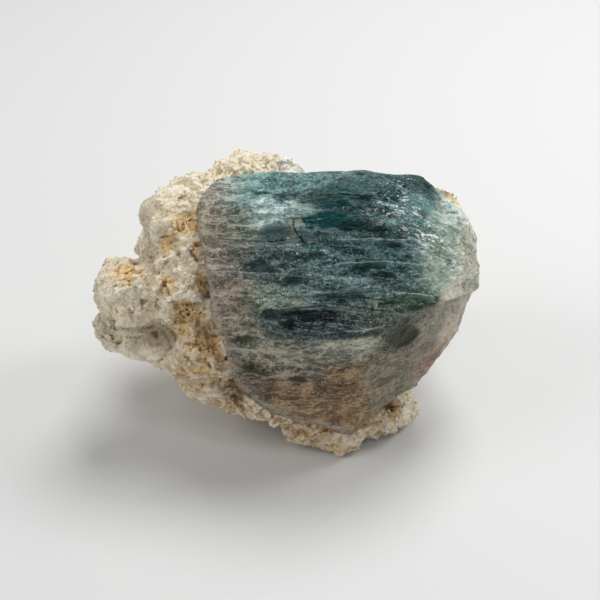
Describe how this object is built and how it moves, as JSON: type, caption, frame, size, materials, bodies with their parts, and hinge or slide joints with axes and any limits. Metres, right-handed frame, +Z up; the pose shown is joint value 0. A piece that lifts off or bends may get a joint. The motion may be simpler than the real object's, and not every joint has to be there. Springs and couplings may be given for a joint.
{
  "type": "hackmanite crystal",
  "caption": "Broken teal-grey hackmanite crystal set in a pale, lumpy, ochre-pitted crust of its matrix rock, as a loose hand specimen.",
  "frame": {"origin": "under the middle of the specimen's box, on the surface that it stands on", "axes": "+X along the crystal, from the matrix end to the free rim; the crystal's broken face looks along -Y; +Z up"},
  "size_m": [0.054, 0.0342, 0.0359],
  "materials": {
    "hackmanite": "vitreous, translucent, fractured",
    "matrix_rock": "rough, granular, weathered"
  },
  "bodies": {
    "root": {"hackmanite_crystal": "hackmanite", "matrix": "matrix_rock"}
  },
  "joints": []
}
